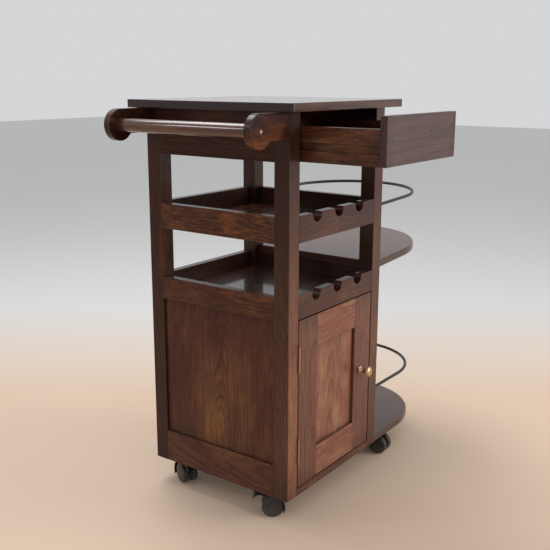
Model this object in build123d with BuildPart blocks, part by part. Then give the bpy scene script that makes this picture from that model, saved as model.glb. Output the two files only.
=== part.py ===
"""Wooden bar cart on four casters, with a drawer, a cupboard and two round side shelves.

Millimetres. X runs to the right as seen from the front, Y to the back, Z up from the floor.
The origin is on the floor, under the middle of the cart's whole outline with its drawer open.
"""

import os
from math import cos, radians, sin, sqrt

from build123d import *

os.makedirs("parts", exist_ok=True)

# Carcass; a rise is a height above the posts' lower ends
cart_width = 390  # over the posts, left to right
cart_depth = 396  # over the posts, front to back
post_side = 38
post_height = 852
top_thick = 18
top_overhang = 29.5
rail_thick = 20
apron_height = 102
upper_rail_rise = 580
upper_rail_height = 58
lower_rail_rise = 413
lower_rail_height = 52
bottom_rail_height = 78
bottom_board_thick = 18

# Joints in the wood
tenon_thick = 8
tenon_length = 12
tenon_shoulder = 8
groove_depth = 5
wood_play = 0.15  # between a tongue and its groove
arris = 1.5  # rounding of sawn edges

# Panels, trays and bottle notches
panel_thick = 8
panel_recess = 6
tray_thick = 9
tray_lip = 6  # of the rail, left below the tray board
notch_width = 36
notch_depth = 21
notch_spacing = 88
notch_count = 3

# Drawer
drawer_front_height = 98
drawer_front_thick = 16
drawer_side_height = 73
drawer_side_thick = 14
drawer_back_thick = 12
drawer_bottom_thick = 6
drawer_bottom_tongue = 4
drawer_length = 340
drawer_open = 197  # how far it is pulled out at rest
drawer_gap = 2.5  # from each side to its post
runner_height = 18
runner_rise = 23  # above the sides' lower edges
runner_play = 0.3
runner_stop = 1.0  # left between the closed front and the runners' ends

# Door
door_thick = 18
door_gap = 2.5
door_member = 73  # width of stiles and rails
door_panel_thick = 6
door_panel_recess = 7
knob_length = 29
knob_radius = 13.5
knob_rise = 222
knob_inset = 42.5  # from the door's free edge
knob_shank_radius = 2.5
knob_shank_length = 13
knob_foot_radius = 10
knob_foot_thick = 2
catch_width = 12
catch_depth = 18
catch_height = 36

# Butt hinges
hinge_length = 60
hinge_rises = (108, 323)
hinge_knuckles = 5
knuckle_radius = 2.2
knuckle_gap = 0.3
knuckle_proud = 2.4  # from the door's face to the pin's axis
leaf_thick = 1.1
leaf_width = 15
pin_radius = 1
pin_fit = 0.06
pin_cap_radius = 1.8
pin_cap_height = 1.2

# Round side shelves and their gallery rods
shelf_thick = 18
shelf_straight = 130
shelf_climb = 3.0  # degrees that the upper shelf climbs to its free end
rod_radius = 4
rod_straight = 155
rod_sink = 12  # length of each end inside its post
rod_play = 0.1
lower_rod_rise = 139
upper_rod_rise = 615
rod_climb = 2.0  # degrees that the upper rod climbs

# Handle
bracket_thick = 17
arm_height = 54
nose_radius = 34.5
nose_reach = 94  # from the post to the nose's centre
nose_throat = 9  # radius of the hollow between arm and nose
bar_radius = 14.5
bar_sink = 8
bar_play = 0.1

# Casters
wheel_radius = 25
caster_headroom = 11.5  # from the wheels' tops to the wood
wheel_width = 16.5
wheel_trail = 18
wheel_round = 3.5
wheel_gap = 0.6
dome_depth = 3.2  # by which each wheel's outer face bulges
dome_middle = (0.8, 14)  # a point on the bulge: below its crown, and from the axle
axle_radius = 3
axle_fit = 0.06
axle_press = 0.02
axle_sink = 1  # of the axle's ends below the wheels' outer faces
web_thick = 9
hub_radius = 8
hood_clearance = 1.6
hood_thick = 2.6
hood_start = 72  # degrees above the trailing side
hood_end = 205
boss_radius = 10
stem_radius = 4
stem_fit = 0.07
stem_head_radius = 6
stem_head_thick = 1.3
swivel_gap = 0.3
plate_side = 42
plate_thick = 2.5
plate_floor = 0.4  # metal left under the stem's head
cup_radius = 12
cup_depth = 4
plate_screw_offset = 15
caster_inset = (43, 49)  # from the cabinet's left face, and from its front or back face
shelf_caster_reach = 75  # from the cabinet's right face
shelf_caster_inset = 42  # from the cabinet's front or back face

# Brake levers
lever_angle = 58  # degrees above the trailing side
lever_clearance = 5.2  # from the wheels' rims to the middle of the lever's pin
lever_length = 29
lever_rise = 4.5  # of its middle above the pin
lever_drop = 3  # of its tip below the pin
lever_pin_radius = 1.5
lever_width = 34
lever_thick = 2.5
lever_barrel = 2.6
lug_thick = 4
lug_gap = 0.6
lug_overlap = 10  # degrees that a lug reaches over the hood

# Screws: head radius, shaft radius, length
plate_screw = (3.4, 1.8, 13)
handle_screw = (3.4, 1.9, 40)
hinge_screw = (2.5, 1.4, 12)
screw_play = 0.1

# Sizes that follow
base = 2 * wheel_radius + caster_headroom
lever_radius = wheel_radius + lever_clearance
top_of_posts = base + post_height
x_out = cart_width / 2
y_out = cart_depth / 2
x_in = x_out - post_side
y_in = y_out - post_side
x_rail = x_out - rail_thick
y_rail = y_out - rail_thick
apron = (top_of_posts - apron_height, top_of_posts)
upper_rail = (base + upper_rail_rise, base + upper_rail_rise + upper_rail_height)
lower_rail = (base + lower_rail_rise, base + lower_rail_rise + lower_rail_height)
bottom_rail = (base, base + bottom_rail_height)
bottom_rail_over_shelf = (base + shelf_thick, base + bottom_rail_height)
floor_board = (base, base + bottom_board_thick)
handle_x = -x_out - nose_reach
handle_z = top_of_posts - nose_radius
rod_bend = y_out - post_side / 2  # a gallery's half circle spans from one right post to the other

# The origin's place, from the cabinet's own centre
mid_x = (rod_straight + rod_bend + rod_radius - nose_reach - nose_radius) / 2
mid_y = (top_overhang - drawer_open) / 2


def point(x, y, z):
    """A point given from the cabinet's centre on the floor."""
    return (x - mid_x, y - mid_y, z)


def level(z):
    """Horizontal plane at height z."""
    return Plane(origin=point(0, 0, z))


def upright(y):
    """Vertical plane that faces the front at depth y: local x is right and local y is up."""
    return Plane(origin=point(0, y, 0), x_dir=(1, 0, 0), z_dir=(0, -1, 0))


def climbing(z, angle):
    """Plane at the cabinet's right face at height z, climbing by angle to the right."""
    slope = radians(angle)
    return Plane(
        origin=point(x_out, 0, z),
        x_dir=(cos(slope), 0, sin(slope)),
        z_dir=(-sin(slope), 0, cos(slope)),
    )


def grow(limits, by):
    """A low and a high limit, each moved outwards by the same length."""
    return (limits[0] - by, limits[1] + by)


def mirrored(sign, near, far):
    """Low and high limit of a piece between two distances on one side of the middle."""
    return tuple(sorted((sign * near, sign * far)))


def block(x, y, z, mode=Mode.ADD):
    """Add or cut a box between a low and a high limit on each axis."""
    with BuildSketch(level(z[0])) as outline:
        with Locations(((x[0] + x[1]) / 2, (y[0] + y[1]) / 2)):
            Rectangle(x[1] - x[0], y[1] - y[0])
    extrude(outline.sketch, amount=z[1] - z[0], mode=mode)


def disc(plane, centre, radius, depth, mode=Mode.ADD):
    """Add or cut a cylinder that stands on a plane."""
    with BuildSketch(plane) as outline:
        with Locations(centre):
            Circle(radius)
    extrude(outline.sketch, amount=depth, mode=mode)


def screw(plane, sizes, spare=0.0, mode=Mode.ADD):
    """Add a countersunk screw that enters at the plane along its normal, or cut its hole."""
    head, shaft, length = sizes
    with BuildSketch(plane) as top:
        Circle(head + spare)
    with BuildSketch(plane.offset(head - shaft)) as neck:
        Circle(shaft + spare)
    loft([top.sketch.face(), neck.sketch.face()], mode=mode)
    extrude(neck.sketch, amount=length + 2 * spare, mode=mode)


def drill(planes, sizes):
    """Cut the holes of all screws that reach into this piece."""
    for plane in planes:
        screw(plane, sizes, screw_play, Mode.SUBTRACT)


def keep(piece, name):
    """Label a finished piece and write it."""
    piece.part.label = name
    export_step(piece.part, f"parts/{name}.step")


# Places of rails, tongues, panels and trays
def span(side):
    """X and Y limits of a rail on one side, from post to post."""
    if side == "front":
        return (-x_in, x_in), (-y_out, -y_rail)
    if side == "back":
        return (-x_in, x_in), (y_rail, y_out)
    if side == "left":
        return (-x_out, -x_rail), (-y_in, y_in)
    return (x_rail, x_out), (-y_in, y_in)


def tenon(side, z, play=0.0):
    """Limits of the tongue that runs through a rail and into both posts."""
    x, y = span(side)
    along = tenon_length + play
    across = play - (rail_thick - tenon_thick) / 2
    if side in ("front", "back"):
        x, y = grow(x, along), grow(y, across)
    else:
        x, y = grow(x, across), grow(y, along)
    return x, y, grow(z, play - tenon_shoulder)


def panel(side, play=0.0):
    """Limits of a cupboard panel with the edges that stand in the grooves around it."""
    x, y = span(side)
    near = panel_recess - play
    far = panel_recess + panel_thick + play
    reach = groove_depth + play
    z = grow((bottom_rail[1], lower_rail[0]), reach)
    if side == "back":
        return grow(x, reach), (y_out - far, y_out - near), z
    if side == "left":
        return (-x_out + near, -x_out + far), grow(y, reach), z
    return (x_out - far, x_out - near), grow(y, reach), z


def tray(rail_z, play=0.0):
    """Limits of a tray board whose edges stand in grooves in the rails around it."""
    low = rail_z[0] + tray_lip
    reach = groove_depth + play
    return (
        grow((-x_rail, x_rail), reach),
        grow((-y_rail, y_rail), reach),
        grow((low, low + tray_thick), play),
    )


def post_limits(sx, sy):
    """Limits of one post."""
    return mirrored(sx, x_in, x_out), mirrored(sy, y_in, y_out), (base, top_of_posts)


def cut_posts():
    """Cut the four posts' places out of a board."""
    for sx in (-1, 1):
        for sy in (-1, 1):
            block(*post_limits(sx, sy), Mode.SUBTRACT)


rails = [
    ("apron_left", "left", apron),
    ("apron_right", "right", apron),
    ("apron_back", "back", apron),
    ("upper_rail_left", "left", upper_rail),
    ("upper_rail_right", "right", upper_rail),
    ("upper_rail_back", "back", upper_rail),
    ("upper_bottle_rail", "front", upper_rail),
    ("lower_rail_left", "left", lower_rail),
    ("lower_rail_right", "right", lower_rail),
    ("lower_rail_back", "back", lower_rail),
    ("lower_bottle_rail", "front", lower_rail),
    ("bottom_rail_left", "left", bottom_rail),
    ("bottom_rail_right", "right", bottom_rail_over_shelf),
    ("bottom_rail_back", "back", bottom_rail),
]
panel_sides = ("left", "right", "back")

# Door and hinge places
door_x = x_in - door_gap
door_y = (-y_out, -y_out + door_thick)
door_z = (floor_board[1] + door_gap, lower_rail[0] - door_gap)
hinge_y = -y_out - knuckle_proud
post_leaf = (-x_in, -x_in + leaf_thick)
door_leaf = (-door_x - leaf_thick, -door_x)
hinge_x = (post_leaf[1] + door_leaf[0]) / 2
knuckle_pitch = hinge_length / hinge_knuckles
hinge_screw_spots = [
    (-y_out + 0.6 * leaf_width, base + rise + step * hinge_length / 3)
    for rise in hinge_rises
    for step in (-1, 1)
]
post_leaf_screws = [
    Plane(origin=point(post_leaf[1], y, z), x_dir=(0, 1, 0), z_dir=(-1, 0, 0))
    for y, z in hinge_screw_spots
]
door_leaf_screws = [
    Plane(origin=point(door_leaf[0], y, z), x_dir=(0, 1, 0), z_dir=(1, 0, 0))
    for y, z in hinge_screw_spots
]

# Casters: name, swivel axis, heading of the wheels from it in degrees from +X, and if it has a brake
left_caster = (-x_out + caster_inset[0], y_out - caster_inset[1])
right_caster = (x_out + shelf_caster_reach, y_out - shelf_caster_inset)
casters = [
    ("front_left", left_caster[0], -left_caster[1], 126, True),
    ("back_left", left_caster[0], left_caster[1], 246, True),
    ("front_right", right_caster[0], -right_caster[1], 272, False),
    ("back_right", right_caster[0], right_caster[1], 250, False),
]
plate_low = base - plate_thick
plate_screws = [
    Plane(origin=point(x + i * plate_screw_offset, y + j * plate_screw_offset, plate_low))
    for _, x, y, _, _ in casters
    for i in (-1, 1)
    for j in (-1, 1)
]
handle_screws = [
    Plane(origin=point(handle_x, s * y_out, handle_z), x_dir=(1, 0, 0), z_dir=(0, -s, 0))
    for s in (-1, 1)
]


def gallery_path(plane):
    """Centre line of a gallery rod: out of one post, round a half circle, back into the other."""
    with BuildLine(plane) as path:
        Line((-rod_sink, -rod_bend), (rod_straight, -rod_bend))
        ThreePointArc(
            (rod_straight, -rod_bend), (rod_straight + rod_bend, 0), (rod_straight, rod_bend)
        )
        Line((rod_straight, rod_bend), (-rod_sink, rod_bend))
    return path.line


def gallery(path, radius, mode=Mode.ADD):
    """Add or cut a round bar along a path."""
    with BuildSketch(Plane(origin=path @ 0, z_dir=path % 0)) as section:
        Circle(radius)
    sweep(section.sketch, path=path, mode=mode)


lower_gallery = gallery_path(climbing(base + lower_rod_rise, 0))
upper_gallery = gallery_path(climbing(base + upper_rod_rise, rod_climb))

# Posts: mortises for rails, grooves for panels, holes for the gallery rods and screws
for name, sx, sy in (
    ("post_front_left", -1, -1),
    ("post_front_right", 1, -1),
    ("post_back_left", -1, 1),
    ("post_back_right", 1, 1),
):
    with BuildPart() as post:
        block(*post_limits(sx, sy))
        fillet(post.edges().filter_by(Axis.Z), arris)
        for _, side, z in rails:
            block(*tenon(side, z, wood_play), Mode.SUBTRACT)
        for side in panel_sides:
            block(*panel(side, wood_play), Mode.SUBTRACT)
        if sx > 0:
            gallery(lower_gallery, rod_radius + rod_play, Mode.SUBTRACT)
            gallery(upper_gallery, rod_radius + rod_play, Mode.SUBTRACT)
        drill(plate_screws, plate_screw)
        drill(post_leaf_screws, hinge_screw)
    keep(post, name)


# Round side shelves
def side_shelf(plane):
    """A board that is straight along the cabinet, round at its free end and tongued between posts."""
    with BuildPart() as shelf:
        with BuildSketch(plane):
            with BuildLine():
                Line((0, -y_out), (shelf_straight, -y_out))
                ThreePointArc(
                    (shelf_straight, -y_out), (shelf_straight + y_out, 0), (shelf_straight, y_out)
                )
                Polyline((shelf_straight, y_out), (0, y_out), (0, -y_out))
            make_face()
        extrude(amount=shelf_thick)
        rim = shelf.edges().filter_by(lambda e: e.length > 2 * shelf_thick)
        fillet(rim.filter_by(lambda e: e.center().X > x_out - mid_x + arris), 2 * arris)
        with BuildSketch(plane):
            with Locations((-rail_thick / 2, 0)):
                Rectangle(rail_thick, 2 * y_in)
        extrude(amount=shelf_thick)
        cut_posts()
        drill(plate_screws, plate_screw)
    return shelf


shelf_lower = side_shelf(climbing(base, 0))
shelf_upper = side_shelf(climbing(lower_rail[1], shelf_climb))
keep(shelf_lower, "side_shelf_lower")
keep(shelf_upper, "side_shelf_upper")

for name, path in (("gallery_rod_lower", lower_gallery), ("gallery_rod_upper", upper_gallery)):
    with BuildPart() as gallery_rod:
        gallery(path, rod_radius)
    keep(gallery_rod, name)

# Rails: tongues at both ends, grooves for panels and trays, notches in the two bottle rails
for name, side, z in rails:
    with BuildPart() as rail:
        block(*span(side), z)
        fillet(rail.edges().filter_by(Axis.X if side in ("front", "back") else Axis.Y), arris)
        block(*tenon(side, z))
        if side in panel_sides:
            block(*panel(side, wood_play), Mode.SUBTRACT)
        for rail_z in (upper_rail, lower_rail):
            block(*tray(rail_z, wood_play), Mode.SUBTRACT)
        drill(plate_screws, plate_screw)
        if name == "lower_rail_right":
            add(shelf_upper.part, mode=Mode.SUBTRACT)
        if side == "front":
            with BuildSketch(upright(-y_rail)):
                with Locations((0, z[1] - notch_depth + notch_width / 2)):
                    with GridLocations(notch_spacing, 1, notch_count, 1):
                        Circle(notch_width / 2)
                with Locations((0, z[1] + notch_width / 2)):
                    with GridLocations(notch_spacing, 1, notch_count, 1):
                        Rectangle(notch_width, 2 * notch_depth)
            extrude(amount=rail_thick, mode=Mode.SUBTRACT)
    keep(rail, name)

# Boards
for side in panel_sides:
    with BuildPart() as board:
        block(*panel(side))
    keep(board, f"panel_{side}")

for name, rail_z in (("upper_tray_board", upper_rail), ("lower_tray_board", lower_rail)):
    with BuildPart() as board:
        block(*tray(rail_z))
        cut_posts()
    keep(board, name)

with BuildPart() as bottom_board:
    block((-x_rail, x_rail), (-y_out, y_rail), floor_board)
    cut_posts()
    drill(plate_screws, plate_screw)
keep(bottom_board, "bottom_board")

with BuildPart() as top_board:
    block(
        grow((-x_out, x_out), top_overhang),
        grow((-y_out, y_out), top_overhang),
        (top_of_posts, top_of_posts + top_thick),
    )
    fillet(top_board.edges().filter_by(Axis.Z), 2 * arris)
    fillet(top_board.faces().sort_by(Axis.Z)[-1].edges(), arris)
    fillet(top_board.faces().sort_by(Axis.Z)[0].edges(), arris)
keep(top_board, "top_board")

# Drawer: grooves in its sides ride on runners between the posts
drawer_x = x_in - drawer_gap
drawer_inner_x = drawer_x - drawer_side_thick
front_back_face = -y_out + drawer_front_thick
box_y = (front_back_face - drawer_open, front_back_face - drawer_open + drawer_length)
side_z = (apron[0], apron[0] + drawer_side_height)
bottom_z = (apron[0] + drawer_bottom_thick, apron[0] + 2 * drawer_bottom_thick)
runner_z = (apron[0] + runner_rise, apron[0] + runner_rise + runner_height)
runner_x = drawer_x - drawer_side_thick / 2

with BuildPart() as drawer_runners:
    for sx in (-1, 1):
        block(mirrored(sx, runner_x, x_in), (front_back_face + runner_stop, y_rail), runner_z)
keep(drawer_runners, "drawer_runners")

with BuildPart() as drawer_front:
    block(
        (-drawer_x, drawer_x),
        (box_y[0] - drawer_front_thick, box_y[0]),
        (apron[0], apron[0] + drawer_front_height),
    )
    fillet(drawer_front.edges(), arris)
keep(drawer_front, "drawer_front")

for name, sx in (("drawer_side_left", -1), ("drawer_side_right", 1)):
    with BuildPart() as drawer_side:
        block(mirrored(sx, drawer_inner_x, drawer_x), box_y, side_z)
        fillet(drawer_side.edges().filter_by(Axis.Y), arris)
        runner_room = mirrored(sx, runner_x - 2 * runner_play, drawer_x)
        block(runner_room, box_y, grow(runner_z, runner_play), Mode.SUBTRACT)
        tongue_room = mirrored(sx, drawer_inner_x, drawer_inner_x + drawer_bottom_tongue + wood_play)
        block(tongue_room, box_y, grow(bottom_z, wood_play), Mode.SUBTRACT)
    keep(drawer_side, name)

with BuildPart() as drawer_back:
    block(
        (-drawer_inner_x, drawer_inner_x),
        (box_y[1] - drawer_back_thick, box_y[1]),
        (bottom_z[1], side_z[1]),
    )
keep(drawer_back, "drawer_back")

with BuildPart() as drawer_bottom:
    block(grow((-drawer_inner_x, drawer_inner_x), drawer_bottom_tongue), box_y, bottom_z)
keep(drawer_bottom, "drawer_bottom")

# Door: stiles, rails and a panel in grooves
opening_x = door_x - door_member
opening_z = (door_z[0] + door_member, door_z[1] - door_member)
knob_spot = (door_x - knob_inset, base + knob_rise)


def door_tongue(z, play=0.0):
    """Limits of the tongue of a door rail."""
    across = play - (door_thick - tenon_thick) / 2
    return (
        grow((-opening_x, opening_x), tenon_length + play),
        grow(door_y, across),
        grow(z, play - tenon_shoulder),
    )


def door_field(play=0.0):
    """Limits of the door panel with the edges that stand in the grooves."""
    face = door_y[0] + door_panel_recess
    return (
        grow((-opening_x, opening_x), groove_depth + play),
        grow((face, face + door_panel_thick), play),
        grow(opening_z, groove_depth + play),
    )


door_rails = (
    ("door_rail_top", (opening_z[1], door_z[1])),
    ("door_rail_bottom", (door_z[0], opening_z[0])),
)
for name, sx in (("door_stile_hinge", -1), ("door_stile_knob", 1)):
    with BuildPart() as stile:
        block(mirrored(sx, opening_x, door_x), door_y, door_z)
        fillet(stile.edges().filter_by(Axis.Z), arris)
        for _, z in door_rails:
            block(*door_tongue(z, wood_play), Mode.SUBTRACT)
        block(*door_field(wood_play), Mode.SUBTRACT)
        shank_room = knob_shank_length + screw_play
        disc(upright(door_y[0]), knob_spot, knob_shank_radius + screw_play, -shank_room, Mode.SUBTRACT)
        drill(door_leaf_screws, hinge_screw)
    keep(stile, name)

for name, z in door_rails:
    with BuildPart() as door_rail:
        block((-opening_x, opening_x), door_y, z)
        fillet(door_rail.edges().filter_by(Axis.X), arris)
        block(*door_tongue(z))
        block(*door_field(wood_play), Mode.SUBTRACT)
    keep(door_rail, name)

with BuildPart() as door_panel:
    block(*door_field())
keep(door_panel, "door_panel")

# Turned knob with a threaded shank: local x is the radius, local y runs into the door
knob_plane = Plane(origin=point(knob_spot[0], door_y[0], knob_spot[1]))
foot = (knob_foot_radius, -knob_foot_thick)
neck = (0.4 * knob_radius, -0.35 * knob_length)
flare = (0.55 * knob_radius, -0.62 * knob_length)
rim = (knob_radius, -0.78 * knob_length)
crown = (0.86 * knob_radius, -0.92 * knob_length)
with BuildPart() as door_knob:
    with BuildSketch(knob_plane):
        with BuildLine():
            Polyline(
                (0, -knob_length),
                (0, knob_shank_length),
                (knob_shank_radius, knob_shank_length),
                (knob_shank_radius, 0),
                (knob_foot_radius, 0),
                foot,
            )
            Spline(foot, neck, flare, rim)
            Spline(rim, crown, (0, -knob_length), tangents=((0.1, -1), (-1, 0)))
        make_face()
    revolve(axis=Axis(knob_plane.origin, (0, 1, 0)))
keep(door_knob, "door_knob")


# Butt hinges in the gap between the left post and the door
def hinge_leaves(leaf_x, first_knuckle):
    """Two leaves with every second knuckle, bored for the pin."""
    for rise in hinge_rises:
        low = base + rise - hinge_length / 2
        block(leaf_x, (-y_out, -y_out + leaf_width), (low, low + hinge_length))
        for index in range(first_knuckle, hinge_knuckles, 2):
            foot = low + index * knuckle_pitch + knuckle_gap / 2
            height = knuckle_pitch - knuckle_gap
            block(leaf_x, (hinge_y, -y_out), (foot, foot + height))
            disc(level(foot), (hinge_x, hinge_y), knuckle_radius, height)
        disc(level(low), (hinge_x, hinge_y), pin_radius + pin_fit, hinge_length, Mode.SUBTRACT)


with BuildPart() as hinge_post_leaves:
    hinge_leaves(post_leaf, 0)
    drill(post_leaf_screws, hinge_screw)
keep(hinge_post_leaves, "hinge_post_leaves")

with BuildPart() as hinge_door_leaves:
    hinge_leaves(door_leaf, 1)
    drill(door_leaf_screws, hinge_screw)
    for plane in door_leaf_screws:
        screw(plane, hinge_screw)
keep(hinge_door_leaves, "hinge_door_leaves")

with BuildPart() as hinge_pins:
    for rise in hinge_rises:
        low = base + rise - hinge_length / 2
        disc(level(low), (hinge_x, hinge_y), pin_radius, hinge_length)
        disc(level(low + hinge_length), (hinge_x, hinge_y), pin_cap_radius, pin_cap_height)
keep(hinge_pins, "hinge_pins")

with BuildPart() as magnetic_catch:
    catch_top = lower_rail[0] - door_gap
    block(
        (x_in - catch_width, x_in),
        (door_y[1] + runner_play, door_y[1] + runner_play + catch_depth),
        (catch_top - catch_height, catch_top),
    )
    fillet(magnetic_catch.edges().filter_by(Axis.Y), arris)
keep(magnetic_catch, "magnetic_catch")

# Handle: two brackets with round noses carry a bar
arm_low = top_of_posts - arm_height
throat_z = arm_low - nose_throat
throat_x = handle_x + sqrt((nose_radius + nose_throat) ** 2 - (handle_z - throat_z) ** 2)
share = nose_radius / (nose_radius + nose_throat)
nose_end = (handle_x + share * (throat_x - handle_x), handle_z + share * (throat_z - handle_z))
bar_y = grow((-y_out, y_out), bar_sink - bracket_thick)
socket = grow(bar_y, bar_play)

for name, near_face in (
    ("handle_bracket_front", -y_out),
    ("handle_bracket_back", y_out - bracket_thick),
):
    with BuildPart() as bracket:
        with BuildSketch(upright(near_face + bracket_thick)):
            with BuildLine():
                Line((-x_out, arm_low), (throat_x, arm_low))
                TangentArc((throat_x, arm_low), nose_end, tangent=(-1, 0))
                ThreePointArc(nose_end, (handle_x - nose_radius, handle_z), (handle_x, top_of_posts))
                Polyline((handle_x, top_of_posts), (-x_out, top_of_posts), (-x_out, arm_low))
            make_face()
        extrude(amount=bracket_thick)
        fillet(bracket.faces().filter_by(Axis.Y).edges(), arris)
        disc(
            upright(socket[1]),
            (handle_x, handle_z),
            bar_radius + bar_play,
            socket[1] - socket[0],
            Mode.SUBTRACT,
        )
        drill(handle_screws, handle_screw)
    keep(bracket, name)

with BuildPart() as handle_bar:
    disc(upright(bar_y[1]), (handle_x, handle_z), bar_radius, bar_y[1] - bar_y[0])
    drill(handle_screws, handle_screw)
keep(handle_bar, "handle_bar")

# Casters
wheel_inner = web_thick / 2 + wheel_gap
wheel_outer = wheel_inner + wheel_width
hood_inner = wheel_radius + hood_clearance
hood_outer = hood_inner + hood_thick
hood_middle = (hood_inner + hood_outer) / 2
hood_half = wheel_outer + wheel_gap
cup_low = plate_low - cup_depth
boss_top = cup_low - swivel_gap
head_low = plate_low + plate_floor + swivel_gap
axle_spot = (wheel_trail, wheel_radius)
lever_turn = radians(lever_angle)
lever_spot = (
    wheel_trail + lever_radius * cos(lever_turn),
    wheel_radius + lever_radius * sin(lever_turn),
)
lug_inner = lever_width / 2 + lug_gap
lug_outer = lug_inner + lug_thick
lug_sweep = hood_start - lever_angle + lug_overlap


def caster_profile(x, y, heading):
    """Vertical plane through a swivel axis: local x is the heading, local y is up, normal the axle."""
    turn = radians(heading)
    return Plane(
        origin=point(x, y, 0), x_dir=(cos(turn), sin(turn), 0), z_dir=(sin(turn), -cos(turn), 0)
    )


for name, x, y, heading, braked in casters:
    profile = caster_profile(x, y, heading)
    with BuildPart() as housing:
        with BuildSketch(profile):
            with BuildLine():
                outer = CenterArc(axle_spot, hood_outer, hood_start, hood_end - hood_start)
                inner = CenterArc(axle_spot, hood_inner, hood_start, hood_end - hood_start)
                Line(outer @ 0, inner @ 0)
                Line(outer @ 1, inner @ 1)
            make_face()
        extrude(amount=hood_half, both=True)
        disc(level(boss_top), (x, y), boss_radius, wheel_radius + axle_radius - boss_top)
        disc(profile.offset(-hood_half), axle_spot, hood_inner, 2 * hood_half, Mode.SUBTRACT)
        with BuildSketch(profile):
            with BuildLine():
                middle = CenterArc(axle_spot, hood_middle, hood_start, hood_end - hood_start)
                Line(axle_spot, middle @ 0)
                Line(axle_spot, middle @ 1)
            make_face()
            with Locations(axle_spot):
                Circle(hub_radius)
        extrude(amount=web_thick / 2, both=True)
        if braked:
            for near in (lug_inner, -lug_outer):
                with BuildSketch(profile.offset(near)):
                    with BuildLine(mode=Mode.PRIVATE):
                        lug_line = CenterArc(axle_spot, lever_radius, lever_angle, lug_sweep)
                    SlotArc(lug_line, 2 * lever_barrel)
                extrude(amount=lug_thick)
            disc(profile.offset(-lug_outer), lever_spot, lever_pin_radius, 2 * lug_outer)
        bore = axle_radius + axle_fit
        disc(profile.offset(-web_thick), axle_spot, bore, 2 * web_thick, Mode.SUBTRACT)
        disc(level(boss_top), (x, y), stem_radius, head_low - boss_top)
        disc(level(head_low), (x, y), stem_head_radius, stem_head_thick)
    keep(housing, f"caster_{name}_housing")

    axle_plane = Plane(
        origin=profile.from_local_coords(axle_spot + (0,)),
        x_dir=profile.z_dir,
        z_dir=-profile.x_dir,
    )
    fixed_bore = axle_radius + axle_press
    shoulder = wheel_outer - dome_depth
    with BuildPart() as wheels:
        for side in (-1, 1):
            with BuildSketch(axle_plane):
                with BuildLine():
                    Polyline(
                        (side * wheel_outer, fixed_bore),
                        (side * wheel_inner, fixed_bore),
                        (side * wheel_inner, wheel_radius),
                        (side * shoulder, wheel_radius),
                    )
                    ThreePointArc(
                        (side * shoulder, wheel_radius),
                        (side * (wheel_outer - dome_middle[0]), dome_middle[1]),
                        (side * wheel_outer, fixed_bore),
                    )
                make_face()
                fillet(vertices().sort_by(Axis.Y)[-2:], wheel_round)
            revolve(axis=Axis(axle_plane.origin, axle_plane.x_dir))
        axle_half = wheel_outer - axle_sink
        disc(profile.offset(-axle_half), axle_spot, axle_radius, 2 * axle_half)
    keep(wheels, f"caster_{name}_wheels")

    if braked:
        with BuildPart() as brake:
            disc(profile.offset(-lever_width / 2), lever_spot, lever_barrel, lever_width)
            crown = (lever_spot[0] + lever_length / 2, lever_spot[1] + lever_rise)
            tip = (lever_spot[0] + lever_length, lever_spot[1] - lever_drop)
            with BuildSketch(profile):
                with BuildLine(mode=Mode.PRIVATE):
                    lever_line = ThreePointArc(lever_spot, crown, tip)
                SlotArc(lever_line, lever_thick)
            extrude(amount=lever_width / 2, both=True)
            bore = lever_pin_radius + pin_fit
            disc(profile.offset(-lever_width), lever_spot, bore, 2 * lever_width, Mode.SUBTRACT)
        keep(brake, f"caster_{name}_brake")

with BuildPart() as caster_plates:
    for _, x, y, _, _ in casters:
        block(grow((x, x), plate_side / 2), grow((y, y), plate_side / 2), (plate_low, base))
        disc(level(cup_low), (x, y), cup_radius, cup_depth)
        disc(level(cup_low), (x, y), stem_radius + stem_fit, base - cup_low, Mode.SUBTRACT)
        head_room = stem_head_radius + swivel_gap
        disc(level(plate_low + plate_floor), (x, y), head_room, base - plate_low, Mode.SUBTRACT)
    drill(plate_screws, plate_screw)
keep(caster_plates, "caster_plates")

with BuildPart() as wood_screws:
    for planes, sizes in (
        (plate_screws, plate_screw),
        (handle_screws, handle_screw),
        (post_leaf_screws, hinge_screw),
    ):
        for plane in planes:
            screw(plane, sizes)
keep(wood_screws, "wood_screws")
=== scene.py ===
from math import radians

import bpy
from mathutils import Matrix, Vector


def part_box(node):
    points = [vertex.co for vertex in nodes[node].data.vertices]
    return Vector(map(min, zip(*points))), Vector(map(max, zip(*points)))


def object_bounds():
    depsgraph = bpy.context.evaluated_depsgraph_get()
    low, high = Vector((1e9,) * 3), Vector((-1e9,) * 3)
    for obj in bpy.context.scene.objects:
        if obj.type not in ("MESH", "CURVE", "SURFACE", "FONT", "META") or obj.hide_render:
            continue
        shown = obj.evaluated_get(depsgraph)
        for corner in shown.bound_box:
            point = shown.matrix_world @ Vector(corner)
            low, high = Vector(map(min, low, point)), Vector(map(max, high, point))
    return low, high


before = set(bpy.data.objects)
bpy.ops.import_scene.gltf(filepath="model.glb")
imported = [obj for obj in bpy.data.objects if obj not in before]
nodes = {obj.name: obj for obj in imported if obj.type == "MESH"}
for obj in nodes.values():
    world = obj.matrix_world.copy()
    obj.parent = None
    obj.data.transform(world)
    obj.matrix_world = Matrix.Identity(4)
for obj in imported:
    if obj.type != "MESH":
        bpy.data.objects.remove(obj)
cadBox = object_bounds()
print("frame loaded:", len(nodes), "pieces")

noiseMiddle = 0.5  # the mean of a noise node's output
edgeStops = ((0.05, 0), (1, 1))
cornerShadeStops = ((0.32, 0), (0.72, 1))


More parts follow.
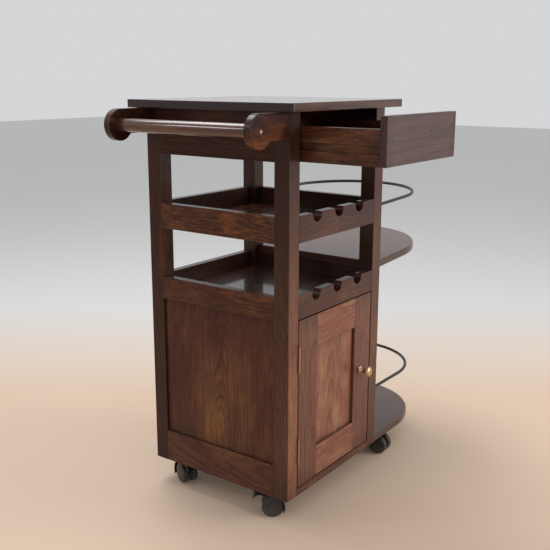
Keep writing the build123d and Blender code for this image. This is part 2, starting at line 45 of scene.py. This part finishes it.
# A shader value that can be used in plain arithmetic
class Value:
    def __init__(self, finish, socket):
        self.finish = finish
        self.socket = socket

    def maths(self, operation, *others):
        return self.finish.maths(operation, self, *others)

    def __add__(self, other):
        return self.maths("ADD", other)

    def __sub__(self, other):
        return self.maths("SUBTRACT", other)

    def __rsub__(self, other):
        return self.finish.maths("SUBTRACT", other, self)

    def __mul__(self, other):
        return self.maths("MULTIPLY", other)

    def __pow__(self, other):
        return self.maths("POWER", other)

    def __rpow__(self, other):
        return self.finish.maths("POWER", other, self)

    __radd__ = __add__
    __rmul__ = __mul__


class Finish:
    def __init__(self, name, constants):
        self.material = bpy.data.materials.new(name)
        self.material.use_nodes = True
        self.tree = self.material.node_tree
        self.shader = self.tree.nodes["Principled BSDF"]
        self.surface(constants)

    # any node: its settings first, then the values or links of its sockets
    def add(self, kind, settings=None, sockets=None, out=0):
        node = self.tree.nodes.new(kind)
        for key, value in (settings or {}).items():
            if key == "stops":
                node.color_ramp.elements[0].position = value[0][0]
                node.color_ramp.elements[1].position = value[-1][0]
                for place, _ in value[1:-1]:
                    node.color_ramp.elements.new(place)
                for element, (_, grey) in zip(node.color_ramp.elements, value):
                    element.color = (grey, grey, grey, 1)
            else:
                setattr(node, key, value)
        for key, value in (sockets or {}).items():
            self.plug(node.inputs[key], value)
        return Value(self, node.outputs[out])

    def plug(self, socket, value):
        if isinstance(value, Value):
            self.tree.links.new(socket, value.socket)
        else:
            socket.default_value = value

    def surface(self, values):
        for key, value in values.items():
            self.plug(self.shader.inputs[key], value)

    def maths(self, operation, *values):
        return self.add("ShaderNodeMath", {"operation": operation}, dict(enumerate(values)))

    def noise(self, vector, scale, detail=2.0, roughness=0.5):
        sockets = {"Vector": vector, "Scale": scale, "Detail": detail, "Roughness": roughness}
        return self.add("ShaderNodeTexNoise", None, sockets)

    def ramp(self, factor, *stops):
        return self.add("ShaderNodeValToRGB", {"stops": stops}, {"Fac": factor})

    def blend(self, factor, first, second, kind="MIX"):
        settings = {"data_type": "RGBA", "blend_type": kind}
        return self.add("ShaderNodeMix", settings, {0: factor, 6: first, 7: second}, out=2)

    def local(self, centre):
        place = self.add("ShaderNodeTexCoord", out="Object")
        return self.add("ShaderNodeVectorMath", {"operation": "SUBTRACT"}, {0: place, 1: centre})

    def dot(self, first, second):
        settings = {"operation": "DOT_PRODUCT"}
        return self.add("ShaderNodeVectorMath", settings, {0: first, 1: second}, out="Value")

    def stretched(self, vector, scale, shift=(0, 0, 0)):
        return self.add("ShaderNodeMapping", None, {"Vector": vector, "Location": shift, "Scale": scale})

    def split(self, vector):
        first = self.add("ShaderNodeSeparateXYZ", None, {0: vector})
        return [Value(self, socket) for socket in first.socket.node.outputs]

    # how near a point is to an edge, within the given radius
    def edges(self, radius, strength):
        rounded = self.add("ShaderNodeBevel", {"samples": 4}, {"Radius": radius})
        straight = self.add("ShaderNodeNewGeometry", out="Normal")
        return self.ramp((1 - self.dot(rounded, straight)) * strength, *edgeStops)

    # how deep a point lies in an inner corner, read from occlusion, for painted shade
    def corners(self, reach):
        openness = self.add("ShaderNodeAmbientOcclusion", {"samples": 6}, {"Distance": reach}, out="AO")
        return self.ramp(1 - openness, *cornerShadeStops)

    def bump(self, height, distance, strength=1.0):
        sockets = {"Height": height, "Distance": distance, "Strength": strength}
        self.surface({"Normal": self.add("ShaderNodeBump", None, sockets)})


def colour(red, green, blue):
    return (red, green, blue, 1)


def centreOf(node):
    low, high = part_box(node)
    return (low + high) / 2


def paint(node, finish):
    nodes[node].data.materials.clear()
    nodes[node].data.materials.append(finish.material)


# Lacquered hardwood. Each board is cut from its own place in a log: the rings lie round a
# pith line some way behind the face, and the tilt of that line gives the pointed arches.
def toneOf(early, late, warm):
    return {"early": colour(*early), "late": colour(*late), "warm": colour(*warm)}


# early wood, late wood, warm patches
tones = {
    "deep": toneOf((0.066, 0.022, 0.012), (0.018, 0.007, 0.005), (0.12, 0.040, 0.014)),
    "red": toneOf((0.135, 0.048, 0.025), (0.042, 0.014, 0.009), (0.19, 0.074, 0.028)),
    "amber": toneOf((0.120, 0.043, 0.019), (0.030, 0.010, 0.006), (0.30, 0.105, 0.026)),
    "brown": toneOf((0.180, 0.070, 0.042), (0.090, 0.032, 0.020), (0.24, 0.100, 0.050)),
    "bright": toneOf((0.300, 0.130, 0.072), (0.135, 0.048, 0.026), (0.42, 0.210, 0.115)),
    "plum": toneOf((0.092, 0.036, 0.024), (0.036, 0.013, 0.009), (0.18, 0.066, 0.030)),
    "smoky": toneOf((0.040, 0.013, 0.009), (0.016, 0.006, 0.005), (0.26, 0.080, 0.020)),
    "golden": toneOf((0.108, 0.031, 0.018), (0.036, 0.011, 0.007), (0.30, 0.125, 0.040)),
    "grey": toneOf((0.098, 0.050, 0.044), (0.066, 0.030, 0.026), (0.12, 0.050, 0.036)),
}
poreColour = colour(0.010, 0.004, 0.003)
# dark glaze at the board ends, also used for the painted shade on left faces and in inner corners
glazeAndShadeColour = colour(0.016, 0.006, 0.004)
wearAndGlintColour = colour(0.26, 0.115, 0.062)
stainTint = (1.35, 0.72, 1.0)  # turns late wood into the colour of a stain

plainLook = {
    "pith": 0.09,  # from the middle of the board to the pith line, m
    "offset": 0.03,  # the pith line's place across the board, m
    "tilt": 0.03,  # slope of the pith line along the board
    "rings": 210,  # per metre
    "patches": 0.5,
    "flecks": 0.2,
    "stain": 0.75,
    "heart": 0,  # warm heartwood, a little below the middle of a panel
    "upperDarkening": 0,  # darker over the upper part of a post
    "paintedSideShade": 0,  # painted shade on the left face, the face towards the handle
    "shift": 0,  # moves the noise, for another cut of the same wood
    "coat": 0.6,
    "coatRoughness": 0.16,
    "coatIndex": 1.36,
}

# noise drawn out along the fibres: cells per metre along and across them, detail, roughness
fibreNoise = {
    "wander": (2.6, 8, 3, 0.5),
    "streaks": (6, 190, 3, 0.6),
    "patches": (5, 13, 5, 0.7),
    "blots": (7, 20, 4, 0.6),
    "pores": (42, 950, 1, 0.5),
    "grain": (34, 260, 3, 0.65),
}

# ramp stops, each a place and a grey
woodMasks = {
    "late": ((0, 0.15), (0.4, 0.25), (0.8, 0.9), (0.93, 1), (1, 0.2)),
    "patches": ((0.48, 0), (0.66, 1)),
    "blots": ((0.34, 0), (0.62, 1)),
    "pores": ((0.60, 0), (0.74, 1)),
    "shade": ((0.28, 0.2), (0.70, 1)),
    "darkFlecks": ((0.50, 0), (0.66, 1)),
    "paleFlecks": ((0.52, 0), (0.68, 1)),
    "ends": ((0.78, 0), (1, 1)),
    "heart": ((0, 0), (0.9, 1)),
    "upper": ((0.3, 0), (0.85, 1)),
    "leftFace": ((0.2, 1), (1, 0)),
}

woodLook = {
    "index": 1.5,
    "specular": 0.12,
    "pithWander": 0.07,  # m, behind the face
    "sideWander": 0.05,  # m, across it
    "ringStreaks": 0.7,
    "late": 0.85,
    "heartDrop": 0.35,  # of half the length, below the middle
    "heartNarrow": 1.6,  # its length over its width
    "heartLate": 0.7,
    "shade": 0.6,
    "darkFlecks": 1.3,
    "stain": 0.7,
    "ends": 0.4,
    "upperWander": 0.3,
    "sideFade": 250,  # per metre in from the left face
    "cornerShadeReach": 0.014,
    "corners": 0.8,
    "pores": 0.75,
    "edgeRadius": 0.0022,
    "edgeStrength": 2.6,
    "worn": 0.3,
    "roughness": 0.36,
    "poreRoughness": 0.25,
    "patchRoughness": 0.06,
    "rippleCells": 60,
    "ripple": 1.2,
    "poreDepth": 0.5,
    "lateDepth": 0.25,
    "relief": 0.00022,
}
cutStart = 0.5  # where in the noise the first board is cut
cutStep = 1.37  # from one board to the next
cutSlope = (1, 1.7, 0.6)


def woodFinish(node, axes, tone, seed, changes):
    look = {**plainLook, **changes}
    shades = tones[tone]
    finish = Finish(node + "Wood", {
        "IOR": woodLook["index"],
        "Specular IOR Level": woodLook["specular"],
        "Coat IOR": look["coatIndex"],
        "Coat Weight": look["coat"],
        "Coat Roughness": look["coatRoughness"],
    })
    low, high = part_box(node)
    local = finish.local(centreOf(node))
    order = ["xyz".index(letter) for letter in axes]
    parts = finish.split(local)
    along, across, deep = (parts[index] for index in order)
    halfLength = (high - low)[order[0]] / 2

    def fibres(name):
        lengthScale, widthScale, detail, roughness = fibreNoise[name]
        scale = [lengthScale if letter == axes[0] else widthScale for letter in "xyz"]
        shift = [step * (seed + look["shift"]) for step in cutSlope]
        return finish.noise(finish.stretched(local, scale, shift), 1.0, detail, roughness)

    def mask(name, factor):
        return finish.ramp(factor, *woodMasks[name])

    wander = fibres("wander") - noiseMiddle
    streaks = fibres("streaks")
    away = deep + along * look["tilt"] + wander * woodLook["pithWander"] + look["pith"]
    aside = across + wander * woodLook["sideWander"] - look["offset"]
    radius = (away * away + aside * aside) ** 0.5
    ring = (radius * look["rings"] + streaks * woodLook["ringStreaks"]).maths("FRACT")
    late = mask("late", ring)
    patches = mask("patches", fibres("patches"))
    blots = mask("blots", fibres("blots"))
    pores = mask("pores", fibres("pores"))
    shade = mask("shade", streaks)
    grain = fibres("grain")
    darkFlecks = mask("darkFlecks", grain)
    paleFlecks = mask("paleFlecks", 1 - grain)
    ends = mask("ends", along.maths("ABSOLUTE") * (1 / halfLength))

    wood = finish.blend(late * woodLook["late"], shades["early"], shades["late"])
    if look["heart"]:
        down = (along + halfLength * woodLook["heartDrop"]) * (1 / halfLength)
        out = (across - look["offset"]) * (woodLook["heartNarrow"] / halfLength)
        heart = mask("heart", 1 - (down * down + out * out) + wander) * look["heart"]
        wood = finish.blend(heart * (1 - late * woodLook["heartLate"]), wood, shades["warm"])
    wood = finish.blend(patches * look["patches"], wood, shades["warm"])
    wood = finish.blend(woodLook["shade"], wood, shade, "MULTIPLY")
    wood = finish.blend(paleFlecks * look["flecks"], wood, shades["warm"])
    wood = finish.blend(darkFlecks * look["flecks"] * woodLook["darkFlecks"], wood, shades["late"])
    stain = colour(*(part * tint for part, tint in zip(shades["late"], stainTint)))
    wood = finish.blend((1 - blots) * look["stain"] * woodLook["stain"], wood, stain)
    wood = finish.blend(ends * woodLook["ends"], wood, glazeAndShadeColour)
    # the upper part of the post darkened towards the dark glaze colour
    if look["upperDarkening"]:
        fromFoot = along * (0.5 / halfLength) + 0.5  # 0 at the foot, 1 at the top
        upper = mask("upper", fromFoot + wander * woodLook["upperWander"])
        wood = finish.blend(upper * look["upperDarkening"], wood, glazeAndShadeColour)
    # painted shade: a board's left face is darkened towards the dark glaze colour, as if it were turned
    # from the light
    if look["paintedSideShade"]:
        leftFace = mask("leftFace", (parts[0] + (high - low)[0] / 2) * woodLook["sideFade"])
        wood = finish.blend(leftFace * look["paintedSideShade"], wood, glazeAndShadeColour)
    # painted shade: inner corners and recesses darkened towards the dark glaze colour
    wood = finish.blend(finish.corners(woodLook["cornerShadeReach"]) * woodLook["corners"], wood, glazeAndShadeColour)
    wood = finish.blend(pores * woodLook["pores"], wood, poreColour)
    # edge wear and a painted glint: edges lightened towards a pale wood colour
    worn = finish.edges(woodLook["edgeRadius"], woodLook["edgeStrength"])
    wood = finish.blend(worn * woodLook["worn"], wood, wearAndGlintColour)
    roughness = woodLook["roughness"] + pores * woodLook["poreRoughness"]
    finish.surface({"Base Color": wood, "Roughness": roughness + patches * woodLook["patchRoughness"]})
    ripple = finish.noise(local, woodLook["rippleCells"])
    height = ripple * woodLook["ripple"] - pores * woodLook["poreDepth"] - late * woodLook["lateDepth"]
    finish.bump(height, woodLook["relief"])
    paint(node, finish)


panelLook = {"heart": 0.5, "flecks": 0.1, "rings": 170}
shelfLook = {"rings": 90, "patches": 0.2, "flecks": 0.15, "coat": 1.0, "coatRoughness": 0.3}
drawerSideLook = {"patches": 0.8, "rings": 230}

# each board: its axes along, across and through the wood, its tone, and what differs from plainLook
boards = {
    "post_front_left": ("zyx", "bright", {
        "rings": 200, "patches": 0.3, "upperDarkening": 0.8, "paintedSideShade": 0.66, "coat": 0.4,
    }),
    "post_front_right": ("zxy", "red", {"rings": 240, "patches": 0.7, "paintedSideShade": 0.75}),
    "post_back_left": ("zyx", "deep", {"rings": 200, "patches": 0.8, "coat": 0.4}),
    "post_back_right": ("zxy", "deep", {"rings": 240, "patches": 0.3}),
    "top_board": ("xyz", "red", {
        "pith": 0.12, "rings": 150, "paintedSideShade": 0.85, "coat": 1.0, "coatRoughness": 0.11,
    }),
    "apron_left": ("yzx", "deep", {"patches": 0.3, "coat": 0.15}),
    "apron_right": ("yzx", "deep", {}),
    "apron_back": ("xzy", "deep", {}),
    "upper_rail_left": ("yzx", "amber", {
        "patches": 1.0, "rings": 260, "stain": 0.5, "flecks": 0.4, "shift": 5.3, "coat": 0.4,
    }),
    "upper_rail_right": ("yzx", "deep", {"patches": 0.3}),
    "upper_rail_back": ("xzy", "deep", {"patches": 0.3}),
    "upper_bottle_rail": ("xzy", "plum", {"patches": 0.4, "stain": 0.9, "coat": 0.5}),
    "lower_rail_left": ("yzx", "amber", {"patches": 0.8, "rings": 330, "coat": 0.4}),
    "lower_rail_right": ("yzx", "deep", {"patches": 0.3}),
    "lower_rail_back": ("xzy", "deep", {"patches": 0.3}),
    "lower_bottle_rail": ("xzy", "plum", {"patches": 0.8, "stain": 0.7, "coat": 0.4}),
    "bottom_rail_left": ("yzx", "red", {"patches": 0.6, "tilt": 0.12, "rings": 120, "coat": 0.4}),
    "bottom_rail_right": ("yzx", "deep", {}),
    "bottom_rail_back": ("xzy", "deep", {}),
    "panel_left": ("zyx", "golden", {
        **panelLook, "pith": 0.030, "tilt": 0.17, "offset": -0.01, "rings": 150,
        "patches": 0.3, "stain": 0.95, "heart": 0.75, "coat": 0.4,
    }),
    "panel_right": ("zyx", "golden", {**panelLook, "pith": 0.040, "tilt": -0.15, "offset": -0.03}),
    "panel_back": ("zxy", "golden", {**panelLook, "pith": 0.035, "tilt": 0.15, "offset": 0.01}),
    "upper_tray_board": ("xyz", "red", {"coat": 1.0, "coatRoughness": 0.12}),
    "lower_tray_board": ("xyz", "deep", {"coat": 1.0, "coatRoughness": 0.10}),
    "bottom_board": ("xyz", "red", {}),
    "side_shelf_lower": ("yxz", "red", shelfLook),
    "side_shelf_upper": ("yxz", "red", shelfLook),
    "drawer_runners": ("yzx", "deep", {}),
    "drawer_front": ("xzy", "grey", {
        "patches": 0.2, "rings": 60, "stain": 0.12, "flecks": 0.1, "coat": 0.5, "coatRoughness": 0.35,
    }),
    "drawer_side_left": ("yzx", "amber", drawerSideLook),
    "drawer_side_right": ("yzx", "amber", drawerSideLook),
    "drawer_back": ("xzy", "deep", {}),
    "drawer_bottom": ("xyz", "red", {"coatRoughness": 0.25}),
    "door_stile_hinge": ("zxy", "brown", {"patches": 0.3, "rings": 120, "stain": 0.3}),
    "door_stile_knob": ("zxy", "brown", {"patches": 0.7, "rings": 150}),
    "door_rail_top": ("xzy", "bright", {"patches": 0.8, "rings": 190}),
    "door_rail_bottom": ("xzy", "bright", {"patches": 0.6, "rings": 220}),
    "door_panel": ("zxy", "bright", {
        "pith": 0.05, "tilt": 0.12, "offset": -0.015, "rings": 120, "patches": 0.8, "flecks": 0.12,
    }),
    "handle_bracket_front": ("xzy", "smoky", {"patches": 0.7, "coat": 0.4, "shift": 1.9}),
    "handle_bracket_back": ("xzy", "smoky", {"patches": 0.6}),
    "handle_bar": ("yxz", "red", {
        "patches": 0.7, "rings": 300, "coat": 1.0, "coatRoughness": 0.06, "coatIndex": 1.5,
    }),
}
for index, (node, (axes, tone, changes)) in enumerate(boards.items()):
    woodFinish(node, axes, tone, cutStep * index + cutStart, changes)
print("wood finished:", len(boards), "boards")

# Gallery rods: dark painted iron with faint hammering and rubbed spots
ironLook = {
    "paint": colour(0.014, 0.013, 0.013),
    "rubbed": colour(0.05, 0.046, 0.043),
    "coat": 0.15,
    "coatRoughness": 0.2,
    "specular": 0.3,
    "spotNoise": (90, 4.0, 0.7),  # cells per metre, detail, roughness
    "spotStops": ((0.52, 0), (0.72, 1)),
    "spots": 0.6,
    "spotMetal": 0.3,
    "dentCells": 420,
    "dentRoughness": 0.2,
    "dentDepth": 0.0003,
    "dentStrength": 0.6,
    "roughness": 0.34,
}
iron = Finish("galleryIron", {
    "Coat Weight": ironLook["coat"],
    "Coat Roughness": ironLook["coatRoughness"],
    "Specular IOR Level": ironLook["specular"],
})
ironPlace = iron.local(Vector())
ironSpots = iron.ramp(iron.noise(ironPlace, *ironLook["spotNoise"]), *ironLook["spotStops"])
ironDents = iron.noise(ironPlace, ironLook["dentCells"])
iron.surface({
    "Base Color": iron.blend(ironSpots * ironLook["spots"], ironLook["paint"], ironLook["rubbed"]),
    "Roughness": ironLook["roughness"] + ironDents * ironLook["dentRoughness"],
    "Metallic": ironSpots * ironLook["spotMetal"],
})
iron.bump(ironDents, ironLook["dentDepth"], ironLook["dentStrength"])
for node in ("gallery_rod_lower", "gallery_rod_upper"):
    paint(node, iron)

# Brass: clouds of tarnish, bright metal at the edges, and fine turning or brushing lines
brassLook = {
    "specular": 0.5,
    "cloudNoise": (110, 4.0, 0.6),
    "cloudStops": ((0.38, 0), (0.7, 1)),
    "tarnish": 0.75,
    "tarnishRoughness": 0.18,
    "tarnishMetal": 0.2,
    "edgeRadius": 0.0012,
    "edgeStrength": 2.2,
    "worn": 0.7,
    "lineRoughness": 0.08,
    "lineDepth": 0.00006,
    "lineStrength": 0.5,
}
knobLook = {
    "bright": colour(0.60, 0.41, 0.25),
    "tarnished": colour(0.28, 0.17, 0.095),
    "lines": (300, 3200, 300),  # per metre along x, y and z
    "roughness": 0.26,
}
hingeLook = {
    "bright": colour(0.42, 0.27, 0.17),
    "tarnished": colour(0.20, 0.11, 0.06),
    "lines": (1500, 1500, 120),
    "roughness": 0.34,
}


def brassFinish(name, node, look):
    finish = Finish(name, {"Specular IOR Level": brassLook["specular"]})
    local = finish.local(centreOf(node))
    cloud = finish.ramp(finish.noise(local, *brassLook["cloudNoise"]), *brassLook["cloudStops"])
    brushed = finish.noise(finish.stretched(local, look["lines"]), 1.0)
    worn = finish.edges(brassLook["edgeRadius"], brassLook["edgeStrength"])
    base = finish.blend(cloud * brassLook["tarnish"], look["bright"], look["tarnished"])
    base = finish.blend(worn * brassLook["worn"], base, look["bright"])
    roughness = look["roughness"] + cloud * brassLook["tarnishRoughness"]
    finish.surface({
        "Base Color": base,
        "Metallic": 1 - cloud * brassLook["tarnishMetal"],
        "Roughness": roughness + brushed * brassLook["lineRoughness"],
    })
    finish.bump(brushed, brassLook["lineDepth"], brassLook["lineStrength"])
    return finish


paint("door_knob", brassFinish("knobBrass", "door_knob", knobLook))
hingeBrass = brassFinish("hingeBrass", "hinge_pins", hingeLook)
for node in ("hinge_post_leaves", "hinge_door_leaves", "hinge_pins"):
    paint(node, hingeBrass)

# Zinc plated screws and caster plates
zincLook = {
    "clean": colour(0.55, 0.54, 0.52),
    "stained": colour(0.30, 0.28, 0.25),
    "stainNoise": (60, 3.0),
    "stainStops": ((0.4, 0), (0.7, 1)),
    "stain": 0.6,
    "stainMetal": 0.15,
    "stainRoughness": 0.2,
    "grainNoise": (700, 3.0),
    "grainRoughness": 0.08,
    "grainDepth": 0.00005,
    "grainStrength": 0.5,
    "roughness": 0.28,
}
zinc = Finish("zincPlate", {})
zincPlace = zinc.local(Vector())
zincGrain = zinc.noise(zincPlace, *zincLook["grainNoise"])
zincStain = zinc.ramp(zinc.noise(zincPlace, *zincLook["stainNoise"]), *zincLook["stainStops"])
zincRoughness = zincLook["roughness"] + zincStain * zincLook["stainRoughness"]
zinc.surface({
    "Base Color": zinc.blend(zincStain * zincLook["stain"], zincLook["clean"], zincLook["stained"]),
    "Metallic": 1 - zincStain * zincLook["stainMetal"],
    "Roughness": zincRoughness + zincGrain * zincLook["grainRoughness"],
})
zinc.bump(zincGrain, zincLook["grainDepth"], zincLook["grainStrength"])
for node in ("caster_plates", "wood_screws"):
    paint(node, zinc)

# Moulded plastic: a fine spark-eroded grain, with dust where it comes near the floor
plasticLook = {
    "index": 1.49,
    "specular": 0.3,
    "cloudNoise": (45, 4.0, 0.6),
    "cloud": 0.4,
    "cloudColour": colour(0.020, 0.019, 0.019),
    "dustColour": colour(0.20, 0.17, 0.15),
    "dustTop": 0.034,  # m above the floor
    "dustSlope": 26,  # per metre
    "lowDust": 0.45,
    "dustStops": ((0.45, 0), (0.95, 1)),
    "dustRoughness": 0.3,
    "edgeRadius": 0.0018,
    "edgeStrength": 2.4,
    "worn": 0.6,
    "wornAndGlintColour": colour(0.17, 0.16, 0.155),
    "grainRoughness": 0.14,
    "grainDepth": 0.00012,
    "grainStrength": 0.5,
}
plastics = {
    "hood": {"shade": colour(0.008, 0.008, 0.009), "roughness": 0.22, "grainCells": 900, "dust": 0.06},
    "wheel": {"shade": colour(0.022, 0.0195, 0.019), "roughness": 0.26, "grainCells": 1300, "dust": 0.25},
    "catch": {"shade": colour(0.060, 0.030, 0.018), "roughness": 0.34, "grainCells": 1100, "dust": 0.0},
}


def plasticFinish(kind):
    look = {**plasticLook, **plastics[kind]}
    finish = Finish(kind + "Plastic", {"IOR": look["index"], "Specular IOR Level": look["specular"]})
    local = finish.local(Vector())
    grain = finish.noise(local, look["grainCells"])
    cloud = finish.noise(local, *look["cloudNoise"])
    height = finish.split(local)[2]
    lowDust = (look["dustTop"] - height) * look["dustSlope"]
    dust = finish.ramp(cloud + lowDust * look["lowDust"], *look["dustStops"]) * look["dust"]
    base = finish.blend(cloud * look["cloud"], look["shade"], look["cloudColour"])
    base = finish.blend(dust, base, look["dustColour"])
    # edge wear and a painted highlight: edges lightened towards a pale grey
    worn = finish.edges(look["edgeRadius"], look["edgeStrength"])
    base = finish.blend(worn * look["worn"], base, look["wornAndGlintColour"])
    roughness = look["roughness"] + grain * look["grainRoughness"]
    finish.surface({"Base Color": base, "Roughness": roughness + dust * look["dustRoughness"]})
    finish.bump(grain, look["grainDepth"], look["grainStrength"])
    return finish


hoodPlastic = plasticFinish("hood")
wheelPlastic = plasticFinish("wheel")
for node in nodes:
    if node.startswith("caster_") and node.endswith(("housing", "brake")):
        paint(node, hoodPlastic)
    if node.endswith("wheels"):
        paint(node, wheelPlastic)
paint("magnetic_catch", plasticFinish("catch"))
print("metal and plastic finished")

# Pale floor, warm round the cart, that turns to the grey of the surroundings in one direction
studio = {
    "floorSize": 30.0,
    "floorNear": colour(0.66, 0.50, 0.38),
    "floorFar": colour(0.66, 0.66, 0.65),
    "floorRoughness": 0.6,
    "floorSpecular": 0.3,
    "fadeTowards": (0.81, 0.59, 0),
    "fadeFrom": 0.5,
    "fadeTo": 1.5,
    "fadeNoise": (7, 4.0),
    "fadeGrain": 0.08,
    "world": colour(0.78, 0.79, 0.80),
    "worldStrength": 0.85,
}
floorFinish = Finish("studioFloor", {
    "Roughness": studio["floorRoughness"],
    "Specular IOR Level": studio["floorSpecular"],
})
floorPlace = floorFinish.local(Vector())
floorAway = floorFinish.dot(floorPlace, studio["fadeTowards"])
floorGrain = floorFinish.noise(floorPlace, *studio["fadeNoise"]) - noiseMiddle
floorReach = (floorAway - studio["fadeFrom"]) * (1 / (studio["fadeTo"] - studio["fadeFrom"]))
floorMix = floorFinish.ramp(floorReach + floorGrain * studio["fadeGrain"], (0, 0), (1, 1))
floorFinish.surface({"Base Color": floorFinish.blend(floorMix, studio["floorNear"], studio["floorFar"])})
half = studio["floorSize"] / 2
floorMesh = bpy.data.meshes.new("floor")
floorCorners = [(-half, -half, 0), (half, -half, 0), (half, half, 0), (-half, half, 0)]
floorMesh.from_pydata(floorCorners, [], [(0, 1, 2, 3)])
floor = bpy.data.objects.new("floor", floorMesh)
bpy.context.scene.collection.objects.link(floor)
floorMesh.materials.append(floorFinish.material)

world = bpy.data.worlds.new("studio")
bpy.context.scene.world = world
world.use_nodes = True
background = world.node_tree.nodes["Background"]
background.inputs["Color"].default_value = studio["world"]
background.inputs["Strength"].default_value = studio["worldStrength"]

lights = {
    "key": {"place": (1.4, -2.8, 1.1), "size": 1.7, "power": 60, "tint": (1.0, 0.97, 0.94)},
    "fill": {"place": (-2.6, -0.9, 0.9), "size": 1.4, "power": 7, "tint": (0.96, 0.98, 1.0)},
    "top": {"place": (0.1, 1.3, 3.0), "size": 1.5, "power": 42, "tint": (1.0, 1.0, 1.0)},
    "rim": {"place": (-1.9, 1.6, 1.95), "size": 0.4, "power": 5, "tint": (1.0, 0.98, 0.95)},
}
aim = (cadBox[0] + cadBox[1]) / 2
for name, lamp in lights.items():
    data = bpy.data.lights.new(name, "AREA")
    data.size = lamp["size"]
    data.energy = lamp["power"]
    data.color = lamp["tint"]
    light = bpy.data.objects.new(name, data)
    light.location = lamp["place"]
    light.rotation_euler = (aim - Vector(lamp["place"])).to_track_quat("-Z", "Y").to_euler()
    light.visible_camera = False
    bpy.context.scene.collection.objects.link(light)

# Camera: heading from +Y towards +X, and degrees down from level
cameraLook = {
    "place": (-1.64845, -1.06095, 0.9788),
    "heading": 53.95,
    "down": 13.55,
    "roll": 0.17,
    "lens": 53.58,
    "sensor": 36,
}
cameraData = bpy.data.cameras.new("camera")
cameraData.lens = cameraLook["lens"]
cameraData.sensor_width = cameraLook["sensor"]
camera = bpy.data.objects.new("camera", cameraData)
turn = Matrix.Rotation(-radians(cameraLook["heading"]), 4, "Z")
tip = Matrix.Rotation(radians(90 - cameraLook["down"]), 4, "X")
roll = Matrix.Rotation(radians(cameraLook["roll"]), 4, "Z")
camera.matrix_world = Matrix.Translation(cameraLook["place"]) @ turn @ tip @ roll
bpy.context.scene.collection.objects.link(camera)
bpy.context.scene.camera = camera
bpy.context.scene.view_settings.view_transform = "Standard"
print("studio ready")
